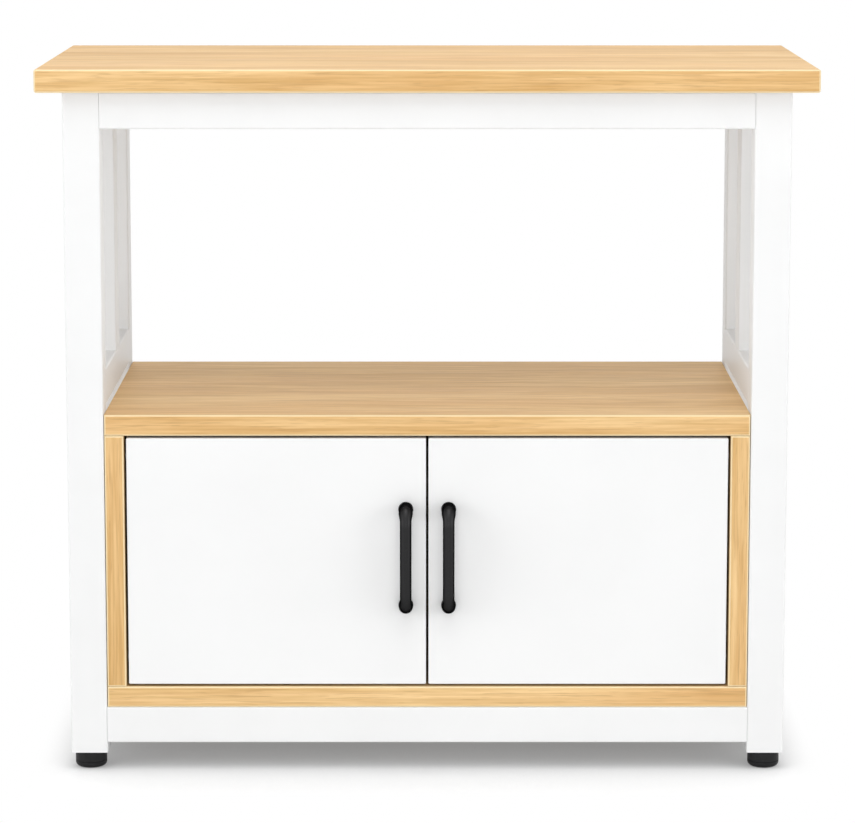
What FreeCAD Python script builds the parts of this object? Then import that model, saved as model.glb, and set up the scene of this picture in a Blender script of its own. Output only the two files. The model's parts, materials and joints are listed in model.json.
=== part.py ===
import FreeCAD, Part
import math
import os
from FreeCAD import Vector

# Kitchen storage cabinet: a white steel tube frame, a wooden worktop, and a wooden
# box with two inset doors in the lower half. Millimetres, X to the right, Y to the
# back, Z up. The origin is on the floor, in the middle of the whole object.

# Worktop
worktop_width = 800.0
worktop_depth = 400.0
worktop_thickness = 24.0
worktop_edge_round = 2.5
side_overhang = 27.0
front_overhang = 15.0

# Square steel tube of the frame
tube_size = 38.0
tube_wall = 1.5
tube_corner = 2.0
upright_length = 693.0
bottom_rail_rise = 11.0
shelf_rail_gap = 5.0

# Levelling feet and the plugs that hold their stems
foot_radius = 16.5
foot_height = 17.7
foot_edge_round = 5.0
foot_top_round = 1.0
foot_gap = 0.3
stem_radius = 4.0
stem_length = 30.0
stem_seat_depth = 8.0
plug_height = 20.0
plug_clearance = 0.1

# Wooden box
board_thickness = 22.0
side_board_thickness = 20.0
side_board_height = 266.0
board_edge_round = 2.2
box_clearance = 0.5
back_panel_thickness = 5.0
back_panel_inset = 8.0
groove_depth = 7.0
groove_clearance = 0.2

# Doors
door_thickness = 18.0
door_gap = 2.5
door_set_back = 1.0
door_edge_round = 1.5

# Bow handles
handle_pitch = 101.6
handle_projection = 28.0
handle_bar_radius = 6.0
handle_bend = 15.0
handle_foot_radius = 7.75
handle_foot_flare = 5.0
handle_foot_rim = 1.5
handle_edge_distance = 21.0
handle_rise = 5.0

# Concealed hinges with a round cup in the door
hinge_inset = 55.0
cup_radius = 17.5
cup_depth = 13.5
cup_wall = 1.0
cup_edge = 5.0
flange_width = 21.0
flange_length = 62.0
flange_thickness = 1.2
flange_corner = 5.0
cup_screw_pitch = 48.0
pin_radius = 1.5
knuckle_wall = 1.5
arm_width = 14.0
arm_thickness = 2.0
arm_clearance = 2.3
arm_tail = 32.0
arm_knee_share = 0.69
arm_neck_shares = (0.73, 0.60)
plate_thickness = 2.0
plate_height = 44.0
plate_margin = 5.0
plate_corner = 4.0
plate_screw_pitch = 32.0

# Magnetic catches
catch_width = 46.0
catch_depth = 15.0
catch_height = 13.0
catch_round = 2.0
catch_edge_distance = 30.0
catch_gap = 0.3
strike_width = 24.0
strike_height = 10.0
strike_thickness = 1.2
strike_corner = 2.0

# Fasteners
fit_clearance = 0.05
cut_overrun = 1.0
pair_shares = (-0.5, 0.5)
along_tolerance_deg = 1.0
wood_screw_radius = 1.75
wood_screw_length = 13.0
wood_screw_head_radius = 4.0
wood_screw_head_height = 2.0
handle_screw_radius = 2.0
handle_screw_grip = 10.0
handle_screw_head_radius = 4.0
handle_screw_head_height = 2.4
worktop_screw_radius = 2.5
worktop_screw_grip = 15.0
worktop_screw_head_radius = 5.0
worktop_screw_head_height = 2.6
worktop_screw_access_gap = 1.5
worktop_screw_shares = (-0.8, 0.0, 0.8)
box_bolt_radius = 3.0
box_bolt_grip = 8.0
box_bolt_head_radius = 6.0
box_bolt_head_height = 3.2
box_bolt_end_distance = 25.0
box_bolt_edge_distance = 8.0
dowel_radius = 4.0
dowel_length = 30.0
dowel_end_gap = 0.3
dowel_shares = (-0.7, 0.0, 0.7)

# Places that follow from the sizes above
frame_width = worktop_width - 2 * side_overhang
frame_depth = worktop_depth - 2 * front_overhang
handle_reach = handle_projection - door_set_back
front_reach = max(front_overhang, handle_reach)
frame_front = (front_reach - frame_depth - front_overhang) / 2
frame_back = frame_front + frame_depth
frame_middle = frame_front + frame_depth / 2
frame_side = frame_width / 2
frame_inner = frame_side - tube_size
upright_bottom = foot_height + foot_gap
upright_top = upright_bottom + upright_length
top_rail_bottom = upright_top - tube_size
bottom_rail_bottom = upright_bottom + bottom_rail_rise
bottom_rail_top = bottom_rail_bottom + tube_size
box_side = frame_inner - box_clearance
box_inner = box_side - side_board_thickness
floor_board_top = bottom_rail_top + board_thickness
shelf_bottom = floor_board_top + side_board_height
shelf_top = shelf_bottom + board_thickness
shelf_rail_bottom = shelf_top + shelf_rail_gap
shelf_rail_top = shelf_rail_bottom + tube_size
panel_back = frame_back - back_panel_inset
panel_front = panel_back - back_panel_thickness
door_front = frame_front + door_set_back
door_back = door_front + door_thickness
door_bottom = floor_board_top + door_gap
door_top = shelf_bottom - door_gap
door_outer = box_inner - door_gap
door_inner = door_gap / 2
door_middle = (door_bottom + door_top) / 2
handle_x = door_inner + handle_edge_distance
handle_z = door_middle + handle_rise
handle_feet = (handle_z - handle_pitch / 2, handle_z + handle_pitch / 2)
cup_inset = cup_edge + cup_radius
pivot_x = door_outer - cup_inset
pivot_y = (door_front + door_back) / 2
hinge_heights = {"lower": door_bottom + hinge_inset, "upper": door_top - hinge_inset}

os.makedirs("parts", exist_ok=True)

ORIGIN = Vector(0, 0, 0)
RIGHT = Vector(1, 0, 0)
BACK = Vector(0, 1, 0)
UP = Vector(0, 0, 1)


def export(name, shape):
    """Write one node, a solid or a group of solids."""
    shape.exportStep(os.path.join("parts", name + ".step"))


def mirrored(shape):
    """The same shape on the other side of the middle plane."""
    return shape.mirror(ORIGIN, RIGHT)


def export_pair(name, right_shape):
    """Write a right-hand node and its mirror image on the left."""
    export("right_" + name, right_shape)
    export("left_" + name, mirrored(right_shape))


def block(low, high):
    """Solid box between two opposite corners."""
    size = high - low
    return Part.makeBox(size.x, size.y, size.z, low)


def rod(radius, start, end):
    """Solid cylinder between two points."""
    along = end - start
    return Part.makeCylinder(radius, along.Length, start, along)


def edges_along(solid, direction):
    """The straight edges that run along a direction."""
    least_cosine = math.cos(math.radians(along_tolerance_deg))
    chosen = []
    for edge in solid.Edges:
        run = edge.Vertexes[-1].Point - edge.Vertexes[0].Point
        if abs(run.dot(direction)) > run.Length * least_cosine:
            chosen.append(edge)
    return chosen


def rounded_block(low, high, direction, radius):
    """Solid box whose edges along one direction are round."""
    solid = block(low, high)
    return solid.makeFillet(radius, edges_along(solid, direction))


def front_eased(solid, front, radius):
    """Board with the edges of its front face eased."""
    def on_front(edge):
        return all(abs(vertex.Point.y - front) < radius / 2 for vertex in edge.Vertexes)
    return solid.makeFillet(radius, [edge for edge in solid.Edges if on_front(edge)])


def fused(pieces):
    """One clean solid from several that touch or overlap."""
    whole = pieces[0].multiFuse(pieces[1:])
    return whole.removeSplitter().Solids[0]


def drilled(solid, holes):
    """Solid with every hole cut out of it."""
    return solid.cut(holes).Solids[0]


def screw(seat, direction, radius, length, head_radius, head_height):
    """Round-head screw whose head sits on the seat point and whose shank runs along a direction."""
    head = rod(head_radius, seat - direction * head_height, seat)
    crown = [edge for edge in head.Edges if abs((edge.CenterOfMass - seat).dot(direction)) > head_height / 2]
    crown = [edge for edge in crown if edge.Closed]
    head = head.makeFillet(head_height / 2, crown)
    return fused([head, rod(radius, seat, seat + direction * length)])


def hole(seat, direction, radius, length):
    """Hole for a screw, from the seat point along a direction."""
    return rod(radius + fit_clearance, seat, seat + direction * (length + fit_clearance))


# Fastener places, used by the fasteners and by the holes they sit in
def worktop_screw_seats():
    """Seats inside the front and rear top rails, under their upper walls."""
    half_run = frame_inner
    seats = []
    for y in (frame_front + tube_size / 2, frame_back - tube_size / 2):
        for share in worktop_screw_shares:
            seats.append(Vector(share * half_run, y, upright_top - tube_wall))
    return seats


def box_bolt_seats():
    """Seats on the inner face of the right side board."""
    seats = []
    inset = tube_size - box_bolt_edge_distance
    for y in (frame_front + inset, frame_back - inset):
        for z in (floor_board_top + box_bolt_end_distance, shelf_bottom - box_bolt_end_distance):
            seats.append(Vector(box_inner, y, z))
    return seats


def plate_screw_seats(height):
    """Seats on the right hinge plate at one hinge."""
    y = pivot_y + arm_back + arm_tail / 2
    x = box_inner - plate_thickness
    return [Vector(x, y, height + share * plate_screw_pitch) for share in pair_shares]


def cup_screw_seats(height):
    """Seats on the flange of the right hinge cup."""
    y = door_back + flange_thickness
    return [Vector(pivot_x, y, height + share * cup_screw_pitch) for share in pair_shares]


def handle_screw_seats():
    """Seats on the back face of the right door."""
    return [Vector(handle_x, door_back, z) for z in handle_feet]


def dowel_places():
    """Middle points of the right-hand dowels, on the two joints of the side board."""
    x = (box_inner + box_side) / 2
    places = []
    for z in (floor_board_top, shelf_bottom):
        for share in dowel_shares:
            places.append(Vector(x, frame_middle + share * frame_depth / 2, z))
    return places


def dowel(place, radius, length):
    """Upright round peg about its middle point."""
    half = UP * (length / 2)
    return rod(radius, place - half, place + half)


# Arm places, measured from the hinge pin
swing_radius = math.hypot(cup_inset, door_back - pivot_y)
arm_back = swing_radius + arm_clearance + arm_thickness / 2
arm_out = cup_radius - cup_wall
wall_side = box_inner - pivot_x
worktop_screw_length = tube_wall + worktop_screw_grip
box_bolt_length = side_board_thickness + box_clearance + tube_wall + box_bolt_grip
handle_screw_length = door_thickness + handle_screw_grip


# Frame tubes
def tube(start, end):
    """Square tube between the middles of its two ends, along X, Y or Z."""
    along = end - start
    length = along.Length
    half = tube_size / 2
    bore = half - tube_wall
    outside = rounded_block(Vector(-half, -half, 0), Vector(half, half, length), UP, tube_corner)
    inside = block(Vector(-bore, -bore, -cut_overrun), Vector(bore, bore, length + cut_overrun))
    body = outside.cut(inside).Solids[0]
    body.Placement = FreeCAD.Placement(start, FreeCAD.Rotation(UP, along))
    return body


def build_frame():
    """The sixteen tubes, each a piece of its own."""
    column_x = frame_side - tube_size / 2
    column_y = {"front": frame_front + tube_size / 2, "rear": frame_back - tube_size / 2}
    rail_y = (frame_front + tube_size, frame_back - tube_size)
    rail_z = {
        "top": top_rail_bottom + tube_size / 2,
        "shelf": shelf_rail_bottom + tube_size / 2,
        "bottom": bottom_rail_bottom + tube_size / 2,
    }
    bolt_holes = [hole(seat, RIGHT, box_bolt_radius, box_bolt_length) for seat in box_bolt_seats()]
    for place, y in column_y.items():
        post = tube(Vector(column_x, y, upright_bottom), Vector(column_x, y, upright_top))
        export_pair(place + "_upright", drilled(post, bolt_holes))
    screw_holes = []
    access_radius = worktop_screw_head_radius + worktop_screw_access_gap
    for seat in worktop_screw_seats():
        screw_holes.append(hole(seat, UP, worktop_screw_radius, worktop_screw_length))
        below = Vector(seat.x, seat.y, top_rail_bottom - cut_overrun)
        screw_holes.append(rod(access_radius, below, below + UP * (tube_wall + 2 * cut_overrun)))
    for place, y in column_y.items():
        for level in ("top", "bottom"):
            rail = tube(Vector(-frame_inner, y, rail_z[level]), Vector(frame_inner, y, rail_z[level]))
            export(place + "_" + level + "_rail", drilled(rail, screw_holes))
    for level, z in rail_z.items():
        rail = tube(Vector(column_x, rail_y[0], z), Vector(column_x, rail_y[1], z))
        export_pair(level + "_side_rail", rail)
    bar_foot = Vector(column_x, frame_middle, shelf_rail_top)
    bar_head = Vector(column_x, frame_middle, top_rail_bottom)
    export_pair("middle_bar", tube(bar_foot, bar_head))


# Worktop and its screws
def build_worktop():
    """Eased wooden slab on the frame, held from below by screws inside the top rails."""
    half_width = worktop_width / 2
    low = Vector(-half_width, frame_front - front_overhang, upright_top)
    high = Vector(half_width, frame_back + front_overhang, upright_top + worktop_thickness)
    slab = block(low, high)
    slab = slab.makeFillet(worktop_edge_round, slab.Edges)
    seats = worktop_screw_seats()
    holes = [hole(seat, UP, worktop_screw_radius, worktop_screw_length) for seat in seats]
    export("worktop", drilled(slab, holes))
    screws = [screw(seat, UP, worktop_screw_radius, worktop_screw_length,
                    worktop_screw_head_radius, worktop_screw_head_height) for seat in seats]
    export("worktop_screws", Part.makeCompound(screws))


# Levelling feet
def foot_pad():
    """Round pad about the Z axis, standing on z = 0, with a blind hole for its stem."""
    pad = rod(foot_radius, ORIGIN, UP * foot_height)
    rims = [edge for edge in pad.Edges if edge.Closed]
    pad = pad.makeFillet(foot_edge_round, [edge for edge in rims if edge.CenterOfMass.z < foot_height / 2])
    rims = [edge for edge in pad.Edges if edge.Closed]
    pad = pad.makeFillet(foot_top_round, [edge for edge in rims if edge.CenterOfMass.z > foot_height / 2])
    stem_seat = UP * (foot_height - stem_seat_depth)
    return drilled(pad, [rod(stem_radius, stem_seat, UP * (foot_height + cut_overrun))])


def build_feet():
    """Pad and stem for each foot, and the plugs in the upright ends that the stems screw into."""
    bore = tube_size / 2 - tube_wall - plug_clearance
    x = frame_side - tube_size / 2
    stem_bottom = foot_height - stem_seat_depth
    plugs = []
    for place, y in (("front", frame_front + tube_size / 2), ("rear", frame_back - tube_size / 2)):
        spot = Vector(x, y, 0)
        export_pair(place + "_foot_pad", foot_pad().translated(spot))
        stem = rod(stem_radius, spot + UP * stem_bottom, spot + UP * (stem_bottom + stem_length))
        export_pair(place + "_foot_stem", stem)
        plug = block(spot + Vector(-bore, -bore, upright_bottom),
                     spot + Vector(bore, bore, upright_bottom + plug_height))
        thread_top = spot + UP * (upright_bottom + plug_height + cut_overrun)
        plug = drilled(plug, [rod(stem_radius + fit_clearance, spot, thread_top)])
        plugs += [plug, mirrored(plug)]
    export("foot_plugs", Part.makeCompound(plugs))


# Wooden box
def level_board(bottom, dowel_holes, groove):
    """Floor or top of the box, with dowel holes and a groove for the back panel."""
    top = bottom + board_thickness
    board = block(Vector(-box_side, frame_front, bottom), Vector(box_side, frame_back, top))
    board = front_eased(board, frame_front, board_edge_round)
    return drilled(board, dowel_holes + [mirrored(cut) for cut in dowel_holes] + [groove])


def build_box():
    """Five boards, dowelled together, with the back panel held in grooves."""
    groove_reach = groove_depth + groove_clearance
    groove_half = box_inner + groove_reach
    groove = block(
        Vector(-groove_half, panel_front - groove_clearance, floor_board_top - groove_reach),
        Vector(groove_half, panel_back + groove_clearance, shelf_bottom + groove_reach))
    places = dowel_places()
    holes = [dowel(place, dowel_radius + fit_clearance, dowel_length + dowel_end_gap) for place in places]
    export("cabinet_floor", level_board(bottom_rail_top, holes, groove))
    export("cabinet_shelf", level_board(shelf_bottom, holes, groove))

    side = block(Vector(box_inner, frame_front, floor_board_top), Vector(box_side, frame_back, shelf_bottom))
    side = front_eased(side, frame_front, board_edge_round)
    holes += [hole(seat, RIGHT, box_bolt_radius, box_bolt_length) for seat in box_bolt_seats()]
    for height in hinge_heights.values():
        for seat in plate_screw_seats(height):
            holes.append(hole(seat, RIGHT, wood_screw_radius, wood_screw_length))
    export_pair("side_board", drilled(side, holes + [groove]))

    panel_half = box_inner + groove_depth
    export("back_panel", block(Vector(-panel_half, panel_front, floor_board_top - groove_depth),
                               Vector(panel_half, panel_back, shelf_bottom + groove_depth)))
    pegs = [dowel(place, dowel_radius, dowel_length) for place in places]
    export("box_dowels", Part.makeCompound(pegs + [mirrored(peg) for peg in pegs]))
    bolts = [screw(seat, RIGHT, box_bolt_radius, box_bolt_length,
                   box_bolt_head_radius, box_bolt_head_height) for seat in box_bolt_seats()]
    export("box_bolts", Part.makeCompound(bolts + [mirrored(bolt) for bolt in bolts]))


# Doors and handles
def build_doors():
    """Flush doors with bored hinge cups and handle holes."""
    door = block(Vector(door_inner, door_front, door_bottom), Vector(door_outer, door_back, door_top))
    door = door.makeFillet(door_edge_round, door.Edges)
    holes = [hole(seat, -BACK, handle_screw_radius, handle_screw_length) for seat in handle_screw_seats()]
    for height in hinge_heights.values():
        mouth = Vector(pivot_x, door_back, height)
        holes.append(rod(cup_radius + fit_clearance, mouth - BACK * (cup_depth + fit_clearance), mouth))
        for seat in cup_screw_seats(height):
            holes.append(hole(seat, -BACK, wood_screw_radius, wood_screw_length))
    export_pair("door", drilled(door, holes))


def build_handles():
    """Bow handle with flared feet, and the screws that hold it from inside the door."""
    bar_y = door_front - handle_projection + handle_bar_radius
    bend_y = bar_y + handle_bend
    low, high = handle_feet
    slant = handle_bend * (1 - math.sqrt(2) / 2)

    def at(y, z):
        return Vector(handle_x, y, z)

    route = Part.Wire([
        Part.LineSegment(at(door_front, low), at(bend_y, low)).toShape(),
        Part.Arc(at(bend_y, low), at(bar_y + slant, low + slant), at(bar_y, low + handle_bend)).toShape(),
        Part.LineSegment(at(bar_y, low + handle_bend), at(bar_y, high - handle_bend)).toShape(),
        Part.Arc(at(bar_y, high - handle_bend), at(bar_y + slant, high - slant), at(bend_y, high)).toShape(),
        Part.LineSegment(at(bend_y, high), at(door_front, high)).toShape(),
    ])
    section = Part.Wire(Part.makeCircle(handle_bar_radius, at(door_front, low), BACK))
    pieces = [route.makePipeShell([section], True, False)]
    for z in handle_feet:
        rim = at(door_front - handle_foot_rim, z)
        pieces.append(rod(handle_foot_radius, at(door_front, z), rim))
        pieces.append(Part.makeCone(handle_foot_radius, handle_bar_radius, handle_foot_flare, rim, -BACK))
    holes = [hole(seat, -BACK, handle_screw_radius, handle_screw_length) for seat in handle_screw_seats()]
    export_pair("handle", drilled(fused(pieces), holes))
    screws = [screw(seat, -BACK, handle_screw_radius, handle_screw_length,
                    handle_screw_head_radius, handle_screw_head_height) for seat in handle_screw_seats()]
    export_pair("handle_screws", Part.makeCompound(screws))


# Hinges
def hinge_point(inward, backward, height):
    """Point measured from a right-hand hinge pin, towards the door's free edge and the back."""
    return Vector(pivot_x - inward, pivot_y + backward, height)


def hinge_cup(height):
    """Round cup sunk in the door, with a flange on the door's back face."""
    mouth = Vector(pivot_x, door_back, height)
    above = mouth + BACK * (flange_thickness + cut_overrun)
    inside = rod(cup_radius - cup_wall, mouth - BACK * (cup_depth - cup_wall), above)
    flange = rounded_block(
        Vector(pivot_x - flange_width / 2, door_back, height - flange_length / 2),
        Vector(pivot_x + flange_width / 2, door_back + flange_thickness, height + flange_length / 2),
        BACK, flange_corner)
    whole = fused([rod(cup_radius, mouth - BACK * cup_depth, mouth), flange])
    pin_hole = hinge_pin(height, pin_radius + fit_clearance, cup_radius)
    screw_holes = [hole(seat, -BACK, wood_screw_radius, wood_screw_length)
                   for seat in cup_screw_seats(height)]
    return drilled(whole, [inside, pin_hole] + screw_holes)


def hinge_pin(height, radius, half_length):
    """Upright pin across the cup."""
    middle = hinge_point(0, 0, height)
    return rod(radius, middle - UP * half_length, middle + UP * half_length)


def hinge_arm(height):
    """Cranked strip from the knuckle on the pin, round the door's edge, to the plate."""
    tail_side = plate_thickness + arm_thickness / 2 - wall_side
    neck = (arm_out * arm_neck_shares[0], arm_knee_share * arm_back * arm_neck_shares[1])
    bends = [(0, 0), neck, (arm_out, arm_knee_share * arm_back), (arm_out, arm_back),
             (tail_side, arm_back), (tail_side, arm_back + arm_tail)]
    low = height - arm_width / 2
    rise = UP * arm_width
    points = [hinge_point(inward, backward, low) for inward, backward in bends]
    pieces = [rod(pin_radius + knuckle_wall, points[0], points[0] + rise)]
    for start, end in zip(points, points[1:]):
        across = (end - start).cross(UP).normalize() * (arm_thickness / 2)
        strip = Part.makePolygon([start + across, end + across, end - across, start - across, start + across])
        pieces.append(Part.Face(strip).extrude(rise))
    for point in points[1:-1]:
        pieces.append(rod(arm_thickness / 2, point, point + rise))
    bore = hinge_pin(height, pin_radius + fit_clearance, arm_width)
    return drilled(fused(pieces), [bore])


def hinge_plate(height):
    """Mounting plate on the side board."""
    low = hinge_point(plate_thickness - wall_side, arm_back - plate_margin, height - plate_height / 2)
    high = hinge_point(-wall_side, arm_back + arm_tail + plate_margin, height + plate_height / 2)
    plate = rounded_block(low, high, RIGHT, plate_corner)
    return drilled(plate, [hole(seat, RIGHT, wood_screw_radius, wood_screw_length)
                           for seat in plate_screw_seats(height)])


def build_hinges():
    """Two hinges a door: cups and arms one by one, pins, plates and screws in groups."""
    pins, plates, cup_screws, plate_screws = [], [], [], []
    for level, height in hinge_heights.items():
        export_pair(level + "_hinge_cup", hinge_cup(height))
        export_pair(level + "_hinge_arm", hinge_arm(height))
        pins.append(hinge_pin(height, pin_radius, cup_radius - cup_wall / 2))
        plates.append(hinge_plate(height))
        sizes = (wood_screw_radius, wood_screw_length, wood_screw_head_radius, wood_screw_head_height)
        cup_screws += [screw(seat, -BACK, *sizes) for seat in cup_screw_seats(height)]
        plate_screws += [screw(seat, RIGHT, *sizes) for seat in plate_screw_seats(height)]
    export_pair("hinge_pins", Part.makeCompound(pins))
    export_pair("hinge_plates", Part.makeCompound(plates))
    export_pair("hinge_cup_screws", Part.makeCompound(cup_screws))
    both = plate_screws + [mirrored(piece) for piece in plate_screws]
    export("hinge_plate_screws", Part.makeCompound(both))


# Magnetic catches
def build_catches():
    """Catch under the shelf board, and the steel strike on the door that it holds."""
    strike_back = door_back + strike_thickness
    catch_front = strike_back + catch_gap
    middle = door_inner + catch_edge_distance
    level = shelf_bottom - catch_height / 2
    catch = rounded_block(
        Vector(middle - catch_width / 2, catch_front, shelf_bottom - catch_height),
        Vector(middle + catch_width / 2, catch_front + catch_depth, shelf_bottom), UP, catch_round)
    export_pair("magnet_catch", catch)
    strike = rounded_block(
        Vector(middle - strike_width / 2, door_back, level - strike_height / 2),
        Vector(middle + strike_width / 2, strike_back, level + strike_height / 2), BACK, strike_corner)
    export_pair("catch_strike", strike)


build_frame()
build_worktop()
build_feet()
build_box()
build_doors()
build_handles()
build_hinges()
build_catches()
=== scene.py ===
import json
import math

import bmesh
import bpy
from mathutils import Matrix, Vector


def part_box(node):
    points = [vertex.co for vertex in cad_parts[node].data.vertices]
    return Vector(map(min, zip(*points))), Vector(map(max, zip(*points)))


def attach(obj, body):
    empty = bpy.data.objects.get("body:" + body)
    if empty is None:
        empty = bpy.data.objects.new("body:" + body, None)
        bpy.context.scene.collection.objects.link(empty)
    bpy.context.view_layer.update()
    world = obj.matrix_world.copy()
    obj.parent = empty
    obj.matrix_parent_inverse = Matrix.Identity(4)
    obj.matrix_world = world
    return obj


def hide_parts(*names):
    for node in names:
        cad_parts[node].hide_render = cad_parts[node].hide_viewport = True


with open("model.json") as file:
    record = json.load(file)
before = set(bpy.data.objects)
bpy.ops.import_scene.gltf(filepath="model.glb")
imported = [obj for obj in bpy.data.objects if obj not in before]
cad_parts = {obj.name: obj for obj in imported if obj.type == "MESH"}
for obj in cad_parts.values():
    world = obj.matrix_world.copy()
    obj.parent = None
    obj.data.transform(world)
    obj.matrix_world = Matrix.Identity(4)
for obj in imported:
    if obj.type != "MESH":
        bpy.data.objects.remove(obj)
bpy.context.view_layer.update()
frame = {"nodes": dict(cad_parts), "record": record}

# Looks of a kitchen storage cabinet, in metres, with X to the right, Y to the back and Z up

nodes = frame["nodes"]
scene = bpy.context.scene
scene.view_settings.view_transform = "Standard"
SIDES = {"left": -1, "right": 1}
PLACES = ("front", "rear")
LEVELS = ("lower", "upper")
QUARTER = math.pi / 2
MERGE_DISTANCE = 1e-6


class Value:
    """One socket of a finish. Arithmetic on it adds Math nodes."""

    def __init__(self, finish, socket):
        self.finish = finish
        self.socket = socket

    def math(self, operation, first, second=None):
        sockets = {0: first} if second is None else {0: first, 1: second}
        return self.finish.node("ShaderNodeMath", {"operation": operation}, sockets)

    def __add__(self, other):
        return self.math("ADD", self, other)

    def __sub__(self, other):
        return self.math("SUBTRACT", self, other)

    def __rsub__(self, other):
        return self.math("SUBTRACT", other, self)

    def __mul__(self, other):
        return self.math("MULTIPLY", self, other)

    def __pow__(self, other):
        return self.math("POWER", self, other)

    def __abs__(self):
        return self.math("ABSOLUTE", self)

    __radd__ = __add__
    __rmul__ = __mul__

    def sine(self):
        return self.math("SINE", self)

    def greater(self, other):
        return self.math("MAXIMUM", self, other)

    def between(self, low, high):
        """Smooth step from 0 at low to 1 at high."""
        settings = {"interpolation_type": "SMOOTHSTEP"}
        return self.finish.node("ShaderNodeMapRange", settings,
                                {"Value": self, "From Min": low, "From Max": high})

    def stretched(self, scale):
        """A vector with each axis scaled."""
        settings = {"operation": "MULTIPLY"}
        return self.finish.node("ShaderNodeVectorMath", settings, {0: self, 1: scale})

    def part(self, name):
        """The X, Y or Z of a vector."""
        return self.finish.node("ShaderNodeSeparateXYZ", {}, {0: self}, name)


class Finish:
    """The nodes of one material or of the world."""

    def __init__(self, owner):
        self.owner = owner
        owner.use_nodes = True
        self.tree = owner.node_tree
        self.tree.nodes.clear()

    def node(self, kind, settings, sockets, out=0):
        """Adds a node: its settings first, then the values or links of its sockets."""
        made = self.tree.nodes.new(kind)
        for name, value in settings.items():
            setattr(made, name, value)
        by_identifier = {socket.identifier: socket for socket in made.inputs}
        for name, value in sockets.items():
            socket = by_identifier.get(name) or made.inputs[name]
            if isinstance(value, Value):
                self.tree.links.new(value.socket, socket)
            else:
                socket.default_value = value
        return Value(self, made.outputs[out]) if made.outputs else None

    def place(self, turn=(0, 0, 0), shift=(0, 0, 0)):
        """The piece's own coordinates, turned and shifted."""
        point = self.node("ShaderNodeTexCoord", {}, {}, "Object")
        return self.node("ShaderNodeMapping", {}, {"Vector": point, "Rotation": turn, "Location": shift})

    def normal(self):
        """The way that the surface faces."""
        return self.node("ShaderNodeTexCoord", {}, {}, "Normal")

    def noise(self, vector, scale=1.0, detail=2.0, roughness=0.5, distortion=0.0):
        return self.node("ShaderNodeTexNoise", {}, {
            "Vector": vector, "Scale": scale, "Detail": detail,
            "Roughness": roughness, "Distortion": distortion})

    def blend(self, factor, first, second):
        """A colour between two colours."""
        return self.node("ShaderNodeMix", {"data_type": "RGBA"},
                         {"Factor_Float": factor, "A_Color": first, "B_Color": second}, 2)

    def bump(self, height, distance, strength):
        return self.node("ShaderNodeBump", {},
                         {"Height": height, "Distance": distance, "Strength": strength})

    def surface(self, **sockets):
        """Closes a material with one principled surface."""
        named = {name.replace("_", " "): value for name, value in sockets.items()}
        shader = self.node("ShaderNodeBsdfPrincipled", {}, named)
        self.node("ShaderNodeOutputMaterial", {}, {"Surface": shader})
        return self.owner


def new_finish(name):
    return Finish(bpy.data.materials.new(name))


def colour(red, green, blue):
    return (red, green, blue, 1.0)


def grey(level):
    return colour(level, level, level)


# Light wood. A stretch says how fast a pattern changes along the grain and in the two ways across it.
PLANK_STRETCH = (1.8, 14.0, 26.0)
BAND_STRETCH = (3.2, 46.0, 70.0)
FIBRE_STRETCH = (7.0, 190.0, 190.0)
FLECK_STRETCH = (14.0, 420.0, 420.0)
PORE_STRETCH = (40.0, 900.0, 900.0)
WANDER_STRETCH = (1.5, 9.0, 9.0)
WARM_STRETCH = (2.4, 12.0, 12.0)
GRAIN_WAVER = 0.3
PLANK_RANGE = FIBRE_RANGE = (0.34, 0.66)
BAND_RANGE = (0.36, 0.64)
WARM_RANGE = (0.35, 0.70)
FLECK_RANGE = (0.57, 0.70)
PORE_RANGE = (0.60, 0.72)
PITH_Y, PITH_Z = 0.05, -0.13
RING_WIDTH, RING_WANDER = 0.0034, 0.03
LENGTH_SHARES = {"plank": 0.24, "band": 0.22, "fibre": 0.40, "ring": 0.14}
END_SHARES = {"plank": 0.14, "fibre": 0.16, "ring": 0.46}
FLECK_SHARE, FLECK_END_LOSS_SHARE = 0.40, 0.25
PORE_SHARE, PORE_END_GAIN_SHARE = 0.30, 0.20
WARM_SHARE = 0.30
EDGE_HIGHLIGHT_SHARE = 0.85
FIBRE_RELIEF_SHARE = 0.7
DEEP_WOOD, PALE_WOOD = colour(0.605, 0.330, 0.096), colour(0.955, 0.672, 0.334)
WARM_WOOD = colour(0.83, 0.48, 0.20)
FLECK_BROWN, PORE_BROWN = colour(0.50, 0.265, 0.09), colour(0.47, 0.25, 0.09)
PAINTED_EDGE_HIGHLIGHT = colour(0.97, 0.80, 0.50)
SAWN_RANGE = (0.80, 0.97)
EASED_RANGE = (0.01, 0.10)
BOUNCE_SHARE = 0.72
BOUNCE_GREY = colour(0.58, 0.55, 0.51)


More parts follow.
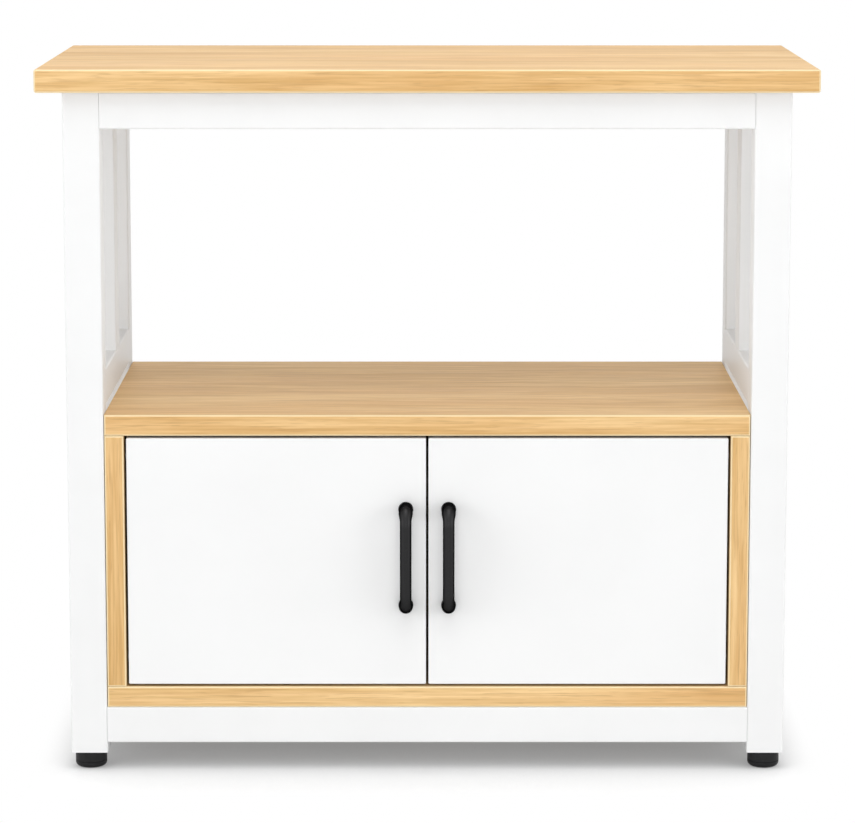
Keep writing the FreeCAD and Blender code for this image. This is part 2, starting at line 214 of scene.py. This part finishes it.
def light_wood(name, turn=(0, 0, 0), shift=(0, 0, 0), paler=0.0, end_axis="X"):
    """Satin lacquered light wood whose grain runs along X before the turn."""
    f = new_finish(name)
    p = f.place(turn, shift)
    fibre = f.noise(p.stretched(FIBRE_STRETCH), detail=4.0, roughness=0.6, distortion=GRAIN_WAVER)
    fleck = f.noise(p.stretched(FLECK_STRETCH), distortion=GRAIN_WAVER)
    pore = f.noise(p.stretched(PORE_STRETCH), detail=1.0)
    tones = {
        "plank": f.noise(p.stretched(PLANK_STRETCH), distortion=GRAIN_WAVER).between(*PLANK_RANGE),
        "band": f.noise(p.stretched(BAND_STRETCH), distortion=GRAIN_WAVER).between(*BAND_RANGE),
        "fibre": fibre.between(*FIBRE_RANGE),
        "ring": growth_rings(f, p),
    }
    sawn = sawn_end(f, end_axis)
    tone = mixed(tones, LENGTH_SHARES) * (1.0 - sawn) + mixed(tones, END_SHARES) * sawn + paler
    wood = f.blend(tone, DEEP_WOOD, PALE_WOOD)
    warm = f.noise(p.stretched(WARM_STRETCH), detail=1.0).between(*WARM_RANGE)
    wood = f.blend(warm * WARM_SHARE, wood, WARM_WOOD)
    dark_fleck = fleck.between(*FLECK_RANGE) * (FLECK_SHARE - sawn * FLECK_END_LOSS_SHARE)
    wood = f.blend(dark_fleck, wood, FLECK_BROWN)
    dark_pore = pore.between(*PORE_RANGE) * (PORE_SHARE + sawn * PORE_END_GAIN_SHARE)
    wood = f.blend(dark_pore, wood, PORE_BROWN)
    # Painted highlight: the eased edges get a paler wood, as if they caught the light.
    wood = f.blend(eased_edge(f) * EDGE_HIGHLIGHT_SHARE, wood, PAINTED_EDGE_HIGHLIGHT)
    relief = fibre * FIBRE_RELIEF_SHARE - dark_pore - dark_fleck
    return f.surface(
        Base_Color=quiet_bounce(f, wood),
        Roughness=0.46 + tones["fibre"] * 0.12,
        Specular_IOR_Level=0.33,
        Normal=f.bump(relief, distance=0.0003, strength=0.10))


def growth_rings(f, p):
    """Rings about the pith, which lies outside the board. They wander a little."""
    wander = f.noise(p.stretched(WANDER_STRETCH), roughness=0.45, distortion=0.5)
    aside = p.part("Y") - PITH_Y
    above = p.part("Z") - PITH_Z
    age = (aside * aside + above * above) ** 0.5 + wander * RING_WANDER
    return (age * (2 * math.pi / RING_WIDTH)).sine() * 0.5 + 0.5


def mixed(tones, shares):
    """Tones added up, each by its share."""
    parts = [tones[name] * share for name, share in shares.items()]
    return sum(parts[1:], parts[0])


def sawn_end(f, axis):
    """1 on the sawn ends, which cut across the grain."""
    return abs(f.normal().part(axis)).between(*SAWN_RANGE)


def eased_edge(f):
    """1 on the narrow slanting faces between a board's flat sides, where a paler wood is painted on as a
    highlight.
    """
    normal = f.normal()
    flat = abs(normal.part("X")).greater(abs(normal.part("Y"))).greater(abs(normal.part("Z")))
    return (1.0 - flat).between(*EASED_RANGE)


def quiet_bounce(f, wood):
    """The wood, greyer only in the light that it throws on its neighbours."""
    bounced = f.node("ShaderNodeLightPath", {}, {}, "Is Diffuse Ray")
    return f.blend(bounced * BOUNCE_SHARE, wood, BOUNCE_GREY)


# Paint, laminate, plating and plastic: a fine grain for the relief, and clouds that shift the tone
CLOUD_RANGE = (0.3, 0.7)
SPECK_RANGE = (0.35, 0.70)
COAT_SHADE, COAT_WHITE = colour(0.895, 0.895, 0.892), colour(0.915, 0.915, 0.913)
LAMINATE_SHADE, LAMINATE_WHITE = colour(0.912, 0.912, 0.909), colour(0.928, 0.928, 0.925)
HANDLE_BLACK, HANDLE_SPECK = colour(0.025, 0.025, 0.0255), colour(0.034, 0.034, 0.035)
HANDLE_RIM = grey(0.02)
STEEL_SHADE, STEEL_SHINE = colour(0.56, 0.555, 0.55), colour(0.66, 0.655, 0.64)
ROLLED_STRETCH = (900.0, 900.0, 60.0)
PLASTIC_GRAIN_SHARE, PLASTIC_CLOUD_SHARE = 0.6, 0.4


def powder_coat(name):
    """White powder coat on steel tube, with a fine orange peel."""
    f = new_finish(name)
    p = f.place()
    peel = f.noise(p, scale=620.0, roughness=0.55)
    cloud = f.noise(p, scale=11.0)
    return f.surface(
        Base_Color=f.blend(cloud.between(*CLOUD_RANGE), COAT_SHADE, COAT_WHITE),
        Roughness=0.36 + cloud * 0.12,
        Normal=f.bump(peel, distance=0.00025, strength=0.10))


def door_laminate(name):
    """Smooth white laminate on the doors."""
    f = new_finish(name)
    p = f.place()
    pearl = f.noise(p, scale=1700.0, detail=1.0)
    cloud = f.noise(p, scale=7.0)
    return f.surface(
        Base_Color=f.blend(cloud.between(*CLOUD_RANGE), LAMINATE_SHADE, LAMINATE_WHITE),
        Roughness=0.30 + cloud * 0.10,
        Normal=f.bump(pearl, distance=0.00008, strength=0.08))


def satin_black(name):
    """Satin black coat of the handles, dark towards the rims."""
    f = new_finish(name)
    p = f.place()
    speck = f.noise(p, scale=1900.0)
    cloud = f.noise(p, scale=60.0)
    return f.surface(
        Base_Color=f.blend(speck.between(*SPECK_RANGE), HANDLE_BLACK, HANDLE_SPECK),
        Metallic=1.0,
        Roughness=0.36 + cloud * 0.12,
        Specular_Tint=HANDLE_RIM,
        Normal=f.bump(speck, distance=0.00008, strength=0.12))


def moulded_plastic(name, dark, pale, sheen):
    """Moulded plastic with a fine spark-eroded grain."""
    f = new_finish(name)
    p = f.place()
    grain = f.noise(p, scale=1300.0, detail=3.0, roughness=0.6)
    cloud = f.noise(p, scale=45.0)
    tone = grain.between(*CLOUD_RANGE) * PLASTIC_GRAIN_SHARE + cloud * PLASTIC_CLOUD_SHARE
    return f.surface(
        Base_Color=f.blend(tone, dark, pale),
        Roughness=0.36 + grain * 0.18,
        Specular_IOR_Level=sheen,
        Normal=f.bump(grain, distance=0.0001, strength=0.2))


def nickel_steel(name):
    """Nickel plated steel with faint rolling marks."""
    f = new_finish(name)
    p = f.place()
    rolled = f.noise(p.stretched(ROLLED_STRETCH), detail=3.0, roughness=0.6)
    cloud = f.noise(p, scale=70.0)
    return f.surface(
        Base_Color=f.blend(cloud.between(*CLOUD_RANGE), STEEL_SHADE, STEEL_SHINE),
        Metallic=1.0,
        Roughness=0.24 + rolled * 0.16,
        Normal=f.bump(rolled, distance=0.00006, strength=0.15))


UPRIGHT_GRAIN = (0, QUARTER, 0)
finishes = {
    "wood_worktop": light_wood("light_wood_worktop", shift=(0.13, 0.02, 0.0), paler=0.03),
    "wood_board": light_wood("light_wood_boards", shift=(0.47, 0.09, 0.05), paler=0.05),
    "wood_upright": light_wood("light_wood_upright", turn=UPRIGHT_GRAIN, shift=(0.0, 0.31, 0.17),
                               paler=-0.02, end_axis="Z"),
    "dowel_wood": light_wood("raw_dowel_wood", turn=UPRIGHT_GRAIN, shift=(0.4, 0.05, 0.6), end_axis="Z"),
    "white_frame": powder_coat("white_powder_coat"),
    "white_door": door_laminate("white_door_laminate"),
    "black_handle": satin_black("satin_black_coat"),
    "black_plastic": moulded_plastic("black_moulded_plastic", dark=colour(0.010, 0.010, 0.0105),
                                     pale=colour(0.019, 0.019, 0.020), sheen=0.16),
    "white_plastic": moulded_plastic("white_moulded_plastic", dark=colour(0.80, 0.80, 0.785),
                                     pale=colour(0.87, 0.87, 0.86), sheen=0.35),
    "steel_fitting": nickel_steel("nickel_plated_steel"),
}

slot_of = {row["node"]: row["material_slot"] for row in frame["record"]["subparts"]}
for name, node in nodes.items():
    kind = slot_of[name]
    if name == "worktop":
        kind = "wood_worktop"
    elif name.endswith("_side_board"):
        kind = "wood_upright"
    node.data.materials.clear()
    node.data.materials.append(finishes[kind])


# New pieces
SMOOTH_ANGLE = math.radians(32)


def finished(name, bm, body, slot, replaced=None):
    """Turns a mesh under work into a piece that rides on a body and may stand for a node."""
    bmesh.ops.remove_doubles(bm, verts=bm.verts, dist=MERGE_DISTANCE)
    bmesh.ops.recalc_face_normals(bm, faces=bm.faces)
    mesh = bpy.data.meshes.new(name)
    bm.to_mesh(mesh)
    bm.free()
    mesh.materials.append(finishes[slot])
    mesh.shade_smooth()
    mesh.set_sharp_from_angle(angle=SMOOTH_ANGLE)
    piece = bpy.data.objects.new(name, mesh)
    scene.collection.objects.link(piece)
    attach(piece, body)
    if replaced:
        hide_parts(replaced)


def middle_of(node):
    """The middle of a node's box."""
    low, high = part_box(node)
    return (low + high) / 2


def whole(bm):
    """Everything in a mesh under work."""
    return bm.verts[:] + bm.edges[:] + bm.faces[:]


def drawn_on(bm, loop, move=(0, 0, 0), about=None, size=1.0):
    """Extrudes an open end by a move, and scales the new end about a point."""
    grown = bmesh.ops.extrude_edge_only(bm, edges=loop)["geom"]
    verts = [part for part in grown if isinstance(part, bmesh.types.BMVert)]
    bmesh.ops.translate(bm, verts=verts, vec=move)
    if about is not None:
        bmesh.ops.scale(bm, verts=verts, vec=(size,) * 3, space=Matrix.Translation(-Vector(about)))
    return [part for part in grown if isinstance(part, bmesh.types.BMEdge)
            and all(vert in verts for vert in part.verts)]


def rounded(bm, edges, width, segments=2, clamped=False):
    """Rounds edges over a width."""
    bmesh.ops.bevel(bm, geom=edges, offset=width, affect="EDGES", segments=segments, profile=0.5,
                    material=-1, clamp_overlap=clamped)


# Bow handles. A post step is a run out from the door and the radius there.
HANDLE_BAR = 0.006
HANDLE_FOOT = 0.00775
HANDLE_POST = 0.0073
HANDLE_BEND = 0.015
HANDLE_PITCH = 0.1016
HANDLE_SEGMENTS = 40
POST_STEPS = ((0.0011, HANDLE_FOOT), (0.0014, 0.00765), (0.0017, 0.00742),
              (0.0030, HANDLE_POST), (0.0050, HANDLE_POST))
BEND_STEPS = 16
THINNING_FROM, THINNING_TO = math.radians(30), math.radians(70)


def bend_radius(turned):
    """Radius of the bar at an angle into the bend: thick at the post, thin at the grip."""
    share = min(max((turned - THINNING_FROM) / (THINNING_TO - THINNING_FROM), 0.0), 1.0)
    return HANDLE_POST + (HANDLE_BAR - HANDLE_POST) * share * share * (3 - 2 * share)


def bow_handle(side):
    """Round grip on two thicker posts, drawn from the lower foot to the middle and mirrored."""
    low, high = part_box(side + "_handle")
    x = (low.x + high.x) / 2
    middle = (low.z + high.z) / 2
    foot = low.z + HANDLE_FOOT
    bend_y = low.y + HANDLE_BAR + HANDLE_BEND
    bm = bmesh.new()
    flat = Matrix.Translation((x, high.y, foot)) @ Matrix.Rotation(QUARTER, 4, "X")
    bmesh.ops.create_circle(bm, segments=HANDLE_SEGMENTS, radius=HANDLE_FOOT, cap_ends=True, matrix=flat)
    loop = bm.edges[:]
    reached, radius = 0.0, HANDLE_FOOT
    for run, wide in POST_STEPS + ((high.y - bend_y, HANDLE_POST),):
        loop = drawn_on(bm, loop, (0, reached - run, 0), (x, high.y - run, foot), wide / radius)
        reached, radius = run, wide
    centre = Vector((x, bend_y, foot + HANDLE_BEND))
    for step in range(1, BEND_STEPS + 1):
        turned = QUARTER * step / BEND_STEPS
        spun = bmesh.ops.spin(bm, geom=loop, cent=centre, axis=(-1, 0, 0),
                              angle=QUARTER / BEND_STEPS, steps=1)["geom_last"]
        loop = [part for part in spun if isinstance(part, bmesh.types.BMEdge)]
        ring = centre - Vector((0, math.sin(turned), math.cos(turned))) * HANDLE_BEND
        wide = bend_radius(turned)
        ends = {vert for edge in loop for vert in edge.verts}
        bmesh.ops.scale(bm, verts=list(ends), vec=(wide / radius,) * 3, space=Matrix.Translation(-ring))
        radius = wide
    drawn_on(bm, loop, (0, 0, middle - foot - HANDLE_BEND))
    bmesh.ops.mirror(bm, geom=whole(bm), axis="Z", matrix=Matrix.Translation((0, 0, -middle)),
                     merge_dist=MERGE_DISTANCE)
    finished(side + "_bow_handle", bm, side + "_door", "black_handle", side + "_handle")


for side in SIDES:
    bow_handle(side)


# Levelling feet. A rim has the width of its rounding and the number of its steps.
FOOT_SEGMENTS = 64
LOWER_RIM, UPPER_RIM = (0.005, 7), (0.001, 3)
RIM_RADIUS_SHARE = 0.9
LEVEL_TOLERANCE = 1e-5
GROOVE_LOW, GROOVE_HIGH = 0.0062, 0.0070
GROOVE_DEPTH, GROOVE_SLANT = 0.0006, 0.00015


def level_rim(bm, z, least_radius, middle):
    """The edges of a round rim at one height."""
    chosen = []
    for edge in bm.edges:
        if all(abs(vert.co.z - z) < LEVEL_TOLERANCE for vert in edge.verts):
            reach = min((vert.co.xy - middle).length for vert in edge.verts)
            if reach > least_radius:
                chosen.append(edge)
    return chosen


def foot_pad(foot):
    """Round levelling pad: soft lower rim, a groove over the sole, eased upper rim."""
    node = foot + "_pad"
    low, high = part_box(node)
    middle = middle_of(node)
    radius = (high.x - low.x) / 2
    bm = bmesh.new()
    bmesh.ops.create_cone(bm, cap_ends=True, segments=FOOT_SEGMENTS, radius1=radius, radius2=radius,
                          depth=high.z - low.z, matrix=Matrix.Translation(middle))
    for z, (width, segments) in ((low.z, LOWER_RIM), (high.z, UPPER_RIM)):
        rounded(bm, level_rim(bm, z, radius * RIM_RADIUS_SHARE, middle.xy), width, segments)
    for z in (GROOVE_LOW, GROOVE_HIGH):
        bmesh.ops.bisect_plane(bm, geom=whole(bm), plane_co=(0, 0, z), plane_no=(0, 0, 1))
    band = [face for face in bm.faces if GROOVE_LOW < face.calc_center_median().z < GROOVE_HIGH]
    bmesh.ops.inset_region(bm, faces=band, thickness=GROOVE_SLANT, depth=-GROOVE_DEPTH,
                           use_even_offset=True)
    finished(foot, bm, foot, "black_plastic", node)


for side in SIDES:
    for place in PLACES:
        foot_pad(side + "_" + place + "_foot")


# Screws and bolts, made with the seat at the origin and the shank down the Z axis
SCREW_STEPS = 24
CROSS, SIX_SIDED = 12, 6
THREAD_CORE_SHARE = 0.80
HEAD_CROWN_SHARES = ((0.70, 1.0), (0.83, 0.94), (0.93, 0.80), (0.985, 0.58),
                     (1.0, 0.35), (1.0, 0.06), (0.97, 0.0))
CROSS_CORNER_SHARE = 0.366
CROSS_TAPER_SHARE = 0.7
DIAGONAL_SHARE = 0.1
RECESS_TURN = math.pi / 12
SCREWS = {
    "wood_screw": {
        "head": (0.0040, 0.0020), "shank": (0.00175, 0.0130), "plain": 0.0015, "pitch": 0.0013,
        "recess": (0.0022, 0.0012), "corners": CROSS, "point": 0.0030},
    "handle_screw": {
        "head": (0.0040, 0.0024), "shank": (0.0020, 0.0280), "plain": 0.0100, "pitch": 0.0008,
        "recess": (0.0022, 0.0015), "corners": CROSS, "point": 0.0},
    "worktop_screw": {
        "head": (0.0050, 0.0026), "shank": (0.0025, 0.0165), "plain": 0.0020, "pitch": 0.0018,
        "recess": (0.0027, 0.0016), "corners": CROSS, "point": 0.0040},
    "socket_bolt": {
        "head": (0.0060, 0.0032), "shank": (0.0030, 0.0300), "plain": 0.0120, "pitch": 0.0010,
        "recess": (0.0023, 0.0020), "corners": SIX_SIDED, "point": 0.0},
    "adjuster": {
        "head": (0.0030, 0.0010), "shank": (0.0018, 0.0030), "plain": 0.0008, "pitch": 0.0007,
        "recess": (0.0019, 0.0007), "corners": CROSS, "point": 0.0},
}


def screw_profile(shape):
    """Half outline of a screw: over the head, then down the ridges. A point of 0 is a flat end."""
    head_radius, head_height = shape["head"]
    radius, length = shape["shank"]
    core = radius * THREAD_CORE_SHARE
    plain, pitch, point = shape["plain"], shape["pitch"], shape["point"]
    profile = [(head_radius * across, head_height * up) for across, up in HEAD_CROWN_SHARES]
    profile += [(radius, 0.0), (radius, -plain)]
    for ridge in range(int((length - plain - point) / pitch)):
        top = -plain - ridge * pitch
        profile += [(core, top - pitch / 2), (radius, top - pitch)]
    if not point:
        profile.append((core, -length))
    return profile + [(0.0, -length)]


def cut_recess(bm, shape):
    """Closes the open top of a head with a cross or a six-sided recess of a reach and a depth."""
    head_height = shape["head"][1]
    reach, depth = shape["recess"]
    corners = shape["corners"]
    top = head_height - MERGE_DISTANCE
    rim = [edge for edge in bm.edges if all(vert.co.z > top for vert in edge.verts)]
    at = Matrix.Translation((0, 0, head_height)) @ Matrix.Rotation(RECESS_TURN, 4, "Z")
    ring = bmesh.ops.create_circle(bm, segments=corners, radius=reach, matrix=at)["verts"]
    taper = 1.0
    if corners == CROSS:
        inner = [vert for vert in ring if abs(abs(vert.co.x) - abs(vert.co.y)) < reach * DIAGONAL_SHARE]
        bmesh.ops.scale(bm, verts=inner, vec=(CROSS_CORNER_SHARE, CROSS_CORNER_SHARE, 1))
        taper = CROSS_TAPER_SHARE
    loop = [edge for edge in bm.edges if all(vert in ring for vert in edge.verts)]
    bmesh.ops.bridge_loops(bm, edges=rim + loop)
    floor = drawn_on(bm, loop, (0, 0, -depth), (0, 0, head_height - depth), taper)
    bmesh.ops.holes_fill(bm, edges=floor)


def screw_mesh(kind):
    """One screw: domed head with a recess, ridged shank."""
    shape = SCREWS[kind]
    bm = bmesh.new()
    verts = [bm.verts.new((across, 0, up)) for across, up in screw_profile(shape)]
    edges = [bm.edges.new(pair) for pair in zip(verts, verts[1:])]
    bmesh.ops.spin(bm, geom=verts + edges, cent=(0, 0, 0), axis=(0, 0, 1), angle=2 * math.pi,
                   steps=SCREW_STEPS, use_merge=True)
    bmesh.ops.remove_doubles(bm, verts=bm.verts, dist=MERGE_DISTANCE)
    cut_recess(bm, shape)
    bmesh.ops.recalc_face_normals(bm, faces=bm.faces)
    mesh = bpy.data.meshes.new(kind)
    bm.to_mesh(mesh)
    bm.free()
    return mesh


screw_meshes = {kind: screw_mesh(kind) for kind in SCREWS}
DOWN = Vector((0, 0, -1))


def screw_set(name, kind, seats, direction, sides, body, replaced=None):
    """Screws of one kind on right-hand seats, or on the same seats mirrored to the left."""
    bm = bmesh.new()
    for side in sides:
        across = SIDES[side]
        way = Vector((direction[0] * across, direction[1], direction[2]))
        turn = DOWN.rotation_difference(way).to_matrix().to_4x4()
        for x, y, z in seats:
            first = len(bm.verts)
            bm.from_mesh(screw_meshes[kind])
            at = Matrix.Translation((x * across, y, z)) @ turn
            bmesh.ops.transform(bm, matrix=at, verts=bm.verts[first:])
    finished(name, bm, body, "steel_fitting", replaced)


# Seats of the right-hand screws, worked out from the pieces that they hold
RIGHTWARD, FORWARD, UPWARD = (1, 0, 0), (0, -1, 0), (0, 0, 1)
BOLT_INSET_Y, BOLT_INSET_Z = 0.030, 0.025
RAIL_SCREW_SHARE = 0.8
TUBE_WALL = 0.0015
ARM_THICKNESS = 0.002
PLATE_SCREW_RISES = (-0.016, 0.016)
FLANGE_SCREW_RISES = (-0.024, 0.024)
ADJUSTER_STEPS = (-0.008, 0.009)

board_low, board_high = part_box("right_side_board")
bolt_seats = [(board_low.x, y, z)
              for y in (board_low.y + BOLT_INSET_Y, board_high.y - BOLT_INSET_Y)
              for z in (board_low.z + BOLT_INSET_Z, board_high.z - BOLT_INSET_Z)]

rail_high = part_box("front_top_rail")[1]
rail_reach = rail_high.x * RAIL_SCREW_SHARE
rail_seats = [(x, middle_of(place + "_top_rail").y, rail_high.z - TUBE_WALL)
              for x in (-rail_reach, 0.0, rail_reach) for place in PLACES]

hinge_heights = [middle_of("right_" + level + "_hinge_cup").z for level in LEVELS]
plate_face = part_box("right_hinge_plates")[0].x
plate_middle = middle_of("right_hinge_plates").y
plate_seats = [(plate_face, plate_middle, z + rise) for z in hinge_heights for rise in PLATE_SCREW_RISES]
adjuster_seats = [(plate_face - ARM_THICKNESS, plate_middle + step, z)
                  for z in hinge_heights for step in ADJUSTER_STEPS]

flange_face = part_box("right_lower_hinge_cup")[1].y
flange_middle = middle_of("right_lower_hinge_cup").x
flange_seats = [(flange_middle, flange_face, z + rise)
                for z in hinge_heights for rise in FLANGE_SCREW_RISES]

handle_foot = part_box("right_handle")[0].z + HANDLE_FOOT
door_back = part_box("right_door")[1].y
handle_seats = [(middle_of("right_handle").x, door_back, z)
                for z in (handle_foot, handle_foot + HANDLE_PITCH)]

screw_set("side_board_bolts", "socket_bolt", bolt_seats, RIGHTWARD, SIDES, "cabinet", "box_bolts")
screw_set("top_rail_screws", "worktop_screw", rail_seats, UPWARD, ("right",), "cabinet", "worktop_screws")
screw_set("mounting_screws", "wood_screw", plate_seats, RIGHTWARD, SIDES, "cabinet", "hinge_plate_screws")
screw_set("arm_adjusters", "adjuster", adjuster_seats, RIGHTWARD, SIDES, "cabinet")
for side in SIDES:
    screw_set(side + "_flange_screws", "wood_screw", flange_seats, FORWARD, (side,), side + "_door",
              side + "_hinge_cup_screws")
    screw_set(side + "_grip_screws", "handle_screw", handle_seats, FORWARD, (side,), side + "_door",
              side + "_handle_screws")


# Hinges and catches: the nodes' own shapes with eased corners, and the parts in a catch's pocket
FLAT_ANGLE = math.radians(2)
CORNER_ANGLE = math.radians(40)
CUP_EASE, ARM_EASE, PLATE_EASE = 0.0003, 0.0004, 0.0004
STRIKE_EASE, CATCH_EASE, BAR_EASE = 0.0003, 0.0008, 0.0002
FACING_SHARE = 0.99
POCKET_MARGIN, POCKET_DEPTH, POCKET_SLANT = 0.0026, 0.0012, 0.0001
POLE_LENGTH, POLE_THICKNESS, POLE_RISE = 0.0300, 0.0016, 0.0024
MAGNET_LENGTH, MAGNET_THICKNESS = 0.0280, 0.0026


def eased_shape(node, ease):
    """A node's shape with its corners rounded a little."""
    bm = bmesh.new()
    bm.from_mesh(nodes[node].data)
    bmesh.ops.remove_doubles(bm, verts=bm.verts, dist=MERGE_DISTANCE)
    bmesh.ops.dissolve_limit(bm, angle_limit=FLAT_ANGLE, verts=bm.verts, edges=bm.edges)
    corners = [edge for edge in bm.edges if edge.is_manifold and edge.calc_face_angle() > CORNER_ANGLE]
    rounded(bm, corners, ease, clamped=True)
    return bm


def eased_copy(name, node, body, ease):
    """A steel piece that stands for a node and has its shape, with eased corners."""
    finished(name, eased_shape(node, ease), body, "steel_fitting", node)


def pocket_bar(bm, middle, length, thickness):
    """A flat bar that fills the depth of the pocket."""
    at = Matrix.Translation(middle) @ Matrix.Diagonal((length, POCKET_DEPTH, thickness, 1))
    made = set(bmesh.ops.create_cube(bm, size=1.0, matrix=at)["verts"])
    rounded(bm, [edge for edge in bm.edges if made.issuperset(edge.verts)], BAR_EASE)


def magnet_catch(side):
    """Catch case with a pocket in its front: two steel poles with the dark magnet between them."""
    node = side + "_magnet_catch"
    case = eased_shape(node, CATCH_EASE)
    facing = [face for face in case.faces if face.normal.y < -FACING_SHARE]
    front = max(facing, key=lambda face: face.calc_area())
    bmesh.ops.inset_region(case, faces=[front], thickness=POCKET_MARGIN, use_even_offset=True)
    bmesh.ops.inset_region(case, faces=[front], thickness=POCKET_SLANT, depth=-POCKET_DEPTH,
                           use_even_offset=True)
    finished(side + "_catch_case", case, "cabinet", "white_plastic", node)
    middle = middle_of(node)
    middle.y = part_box(node)[0].y + POCKET_DEPTH / 2
    poles = bmesh.new()
    for rise in (-POLE_RISE, POLE_RISE):
        pocket_bar(poles, middle + Vector((0, 0, rise)), POLE_LENGTH, POLE_THICKNESS)
    finished(side + "_catch_poles", poles, "cabinet", "steel_fitting")
    magnet = bmesh.new()
    pocket_bar(magnet, middle, MAGNET_LENGTH, MAGNET_THICKNESS)
    finished(side + "_catch_magnet", magnet, "cabinet", "black_plastic")


for side in SIDES:
    for level in LEVELS:
        hinge = side + "_" + level
        eased_copy(hinge + "_pressed_cup", hinge + "_hinge_cup", side + "_door", CUP_EASE)
        eased_copy(hinge + "_cranked_arm", hinge + "_hinge_arm", "cabinet", ARM_EASE)
    eased_copy(side + "_mounting_plates", side + "_hinge_plates", "cabinet", PLATE_EASE)
    eased_copy(side + "_strike_plate", side + "_catch_strike", side + "_door", STRIKE_EASE)
    magnet_catch(side)


# Studio: floor, world, lamps and camera
FLOOR_REACH = 40.0
FLOOR_SEGMENTS = 48
FLOOR_WHITE, FLOOR_FLECK, FLOOR_PAINTED_SHADOW = grey(0.90), grey(0.86), grey(0.36)
FLOOR_FLECK_SHARE = 0.01
FLOOR_LIFT = 0.24
SHADE_REACH = 0.32
SHADE_SAMPLES = 8
SHADOW_HALF_WIDTH = 0.355
SHADOW_HALF_DEPTH = 0.215
SHADOW_FADE = 0.06
SHADOW_MIDDLE = -0.02
SKY_TINT = colour(0.980, 0.992, 1.0)
SKY_LEVEL = 0.43


def seen_directly(f):
    """1 for rays that show the background itself: camera, mirror and glass rays."""
    rays = [f.node("ShaderNodeLightPath", {}, {}, name)
            for name in ("Is Camera Ray", "Is Glossy Ray", "Is Transmission Ray")]
    return rays[0].greater(rays[1]).greater(rays[2])


def white_floor():
    """Paint that keeps the soft shadow near the cabinet, deepens it with a painted shadow from ambient
    occlusion, and is plain white further out.
    """
    f = new_finish("white_floor")
    p = f.place()
    aside = abs(p.part("X")) - SHADOW_HALF_WIDTH
    ahead = abs(p.part("Y") - SHADOW_MIDDLE) - SHADOW_HALF_DEPTH
    away = aside.greater(ahead)
    seen = seen_directly(f)
    white = f.blend(f.noise(p, scale=35.0) * FLOOR_FLECK_SHARE, FLOOR_WHITE, FLOOR_FLECK)
    # Painted shadow: ambient occlusion darkens the floor's colour near the cabinet, in directly seen rays
    # only.
    open_air = f.node("ShaderNodeAmbientOcclusion", {"samples": SHADE_SAMPLES},
                      {"Distance": SHADE_REACH}, "AO")
    white = f.blend(seen * (1.0 - open_air), white, FLOOR_PAINTED_SHADOW)
    paint = f.node("ShaderNodeBsdfDiffuse", {}, {"Color": white})
    lift = f.node("ShaderNodeEmission", {}, {"Strength": seen * FLOOR_LIFT})
    near = f.node("ShaderNodeAddShader", {}, {0: paint, 1: lift})
    far = f.node("ShaderNodeEmission", {}, {"Strength": 1.0})
    fade = seen * away.between(0.0, SHADOW_FADE)
    both = f.node("ShaderNodeMixShader", {}, {0: fade, 1: near, 2: far})
    f.node("ShaderNodeOutputMaterial", {}, {"Surface": both})
    return f.owner


def studio_floor():
    """Wide round floor under the cabinet."""
    bm = bmesh.new()
    bmesh.ops.create_circle(bm, cap_ends=True, segments=FLOOR_SEGMENTS, radius=FLOOR_REACH)
    mesh = bpy.data.meshes.new("studio_floor")
    bm.to_mesh(mesh)
    bm.free()
    mesh.materials.append(white_floor())
    floor = bpy.data.objects.new("studio_floor", mesh)
    scene.collection.objects.link(floor)


def studio_world():
    """Even soft light, with plain white behind everything."""
    world = bpy.data.worlds.new("studio_white")
    scene.world = world
    f = Finish(world)
    seen = seen_directly(f)
    strength = seen * (1.0 - SKY_LEVEL) + SKY_LEVEL
    tint = f.blend(seen, SKY_TINT, grey(1.0))
    shader = f.node("ShaderNodeBackground", {}, {"Strength": strength, "Color": tint})
    f.node("ShaderNodeOutputWorld", {}, {"Surface": shader})


def softbox(name, place, target, size, watts, mirrored=True):
    """Soft rectangular lamp, out of the camera's sight and, where asked, out of reflections."""
    lamp = bpy.data.lights.new(name, "AREA")
    lamp.shape = "RECTANGLE"
    lamp.size, lamp.size_y = size
    lamp.energy = watts
    box = bpy.data.objects.new(name, lamp)
    box.location = place
    box.rotation_euler = (Vector(target) - Vector(place)).to_track_quat("-Z", "Y").to_euler()
    box.visible_camera = False
    box.visible_glossy = mirrored
    scene.collection.objects.link(box)


studio_floor()
studio_world()
MIDDLE = (0, 0, 0.4)
for side, across in SIDES.items():
    softbox(side + "_softbox", place=(3.2 * across, -1.5, 0.9), target=MIDDLE, size=(1.8, 1.8), watts=27.5)
softbox("front_softbox", place=(0, -3.4, 0.95), target=MIDDLE, size=(2.0, 1.2), watts=15.5)
softbox("close_top_softbox", place=(0, -1.1, 2.2), target=(0, -0.1, 0.6), size=(1.6, 1.2), watts=13.2)
softbox("overhead_softbox", place=(0, -0.30, 5.0), target=(0, -0.10, 0.7), size=(1.6, 0.5), watts=33)
softbox("rear_fill_softbox", place=(0, 2.6, 1.9), target=MIDDLE, size=(2.4, 1.6), watts=17, mirrored=False)

PHOTO_WIDTH = 855
FOCAL_PIXELS = 3554.7
SENSOR_WIDTH = 36
LOOK_DOWN = math.radians(8.587)
CAMERA_PLACE = (0.0003, -3.8047, 0.9819)
CAMERA_SHIFT = -0.06
CAMERA_REACH = 100
lens = bpy.data.cameras.new("product_camera")
lens.sensor_width = SENSOR_WIDTH
lens.lens = FOCAL_PIXELS / PHOTO_WIDTH * SENSOR_WIDTH
lens.shift_y = CAMERA_SHIFT
lens.clip_end = CAMERA_REACH
camera = bpy.data.objects.new("product_camera", lens)
camera.location = CAMERA_PLACE
camera.rotation_euler = (QUARTER - LOOK_DOWN, 0, 0)
scene.collection.objects.link(camera)
scene.camera = camera
